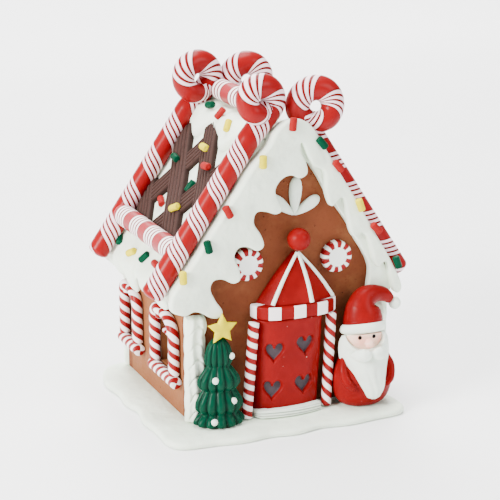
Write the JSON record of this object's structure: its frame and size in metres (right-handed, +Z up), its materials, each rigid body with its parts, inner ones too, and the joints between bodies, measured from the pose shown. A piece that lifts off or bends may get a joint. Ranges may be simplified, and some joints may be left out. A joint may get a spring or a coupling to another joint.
{
  "type": "gingerbread house ornament",
  "caption": "Clay-dough gingerbread house on a snow base, with a steep snowy roof, curled candy rails, latticed slopes, bowed door, tree and Santa figure.",
  "frame": {"origin": "on the ground under the middle of the four walls", "axes": "+X to the right along the front wall as seen from the front, -Y out of the front door, +Z up"},
  "size_m": [0.1657, 0.1486, 0.2066],
  "materials": {
    "snow_icing": "satin",
    "gingerbread": "matte",
    "candy_stripe": "gloss",
    "chocolate": "satin",
    "red_clay": "satin",
    "tree_green": "satin",
    "yellow_clay": "satin",
    "skin_clay": "satin",
    "mint_candy": "gloss"
  },
  "bodies": {
    "root": {"snow_base": "snow_icing", "ridge_snow": "snow_icing", "front_snow": "snow_icing", "back_snow": "snow_icing", "roof_left": "snow_icing", "roof_right": "snow_icing", "icing_petals": "snow_icing", "door_step": "snow_icing", "door_cone_ribs": "snow_icing", "icing_front_left": "snow_icing", "icing_front_right": "snow_icing", "icing_back_left": "snow_icing", "icing_back_right": "snow_icing", "santa_beard": "snow_icing", "santa_hat_band": "snow_icing", "santa_moustache": "snow_icing", "santa_pompom": "snow_icing", "front_wall": "gingerbread", "back_wall": "gingerbread", "left_wall": "gingerbread", "right_wall": "gingerbread", "lattice_left": "chocolate", "lattice_right": "chocolate", "door": "red_clay", "door_band": "red_clay", "door_cone": "red_clay", "door_ball": "red_clay", "santa_body": "red_clay", "santa_hat": "red_clay", "santa_face": "skin_clay", "santa_nose": "skin_clay", "tree": "tree_green", "tree_star": "yellow_clay", "mint_left": "mint_candy", "mint_right": "mint_candy", "rail_front_left": "candy_stripe", "rail_front_right": "candy_stripe", "rail_back_left": "candy_stripe", "rail_back_right": "candy_stripe", "ridge_roll": "candy_stripe", "eave_roll_left": "candy_stripe", "eave_roll_right": "candy_stripe", "door_column_left": "candy_stripe", "door_column_right": "candy_stripe", "window_left_front_cane": "candy_stripe", "window_left_front_arch": "candy_stripe", "window_left_front_sill": "candy_stripe", "window_left_front_cross": "candy_stripe", "window_left_back_cane": "candy_stripe", "window_left_back_arch": "candy_stripe", "window_left_back_sill": "candy_stripe", "window_left_back_cross": "candy_stripe", "window_right_front_cane": "candy_stripe", "window_right_front_arch": "candy_stripe", "window_right_front_sill": "candy_stripe", "window_right_front_cross": "candy_stripe", "window_right_back_cane": "candy_stripe", "window_right_back_arch": "candy_stripe", "window_right_back_sill": "candy_stripe", "window_right_back_cross": "candy_stripe"}
  },
  "joints": []
}
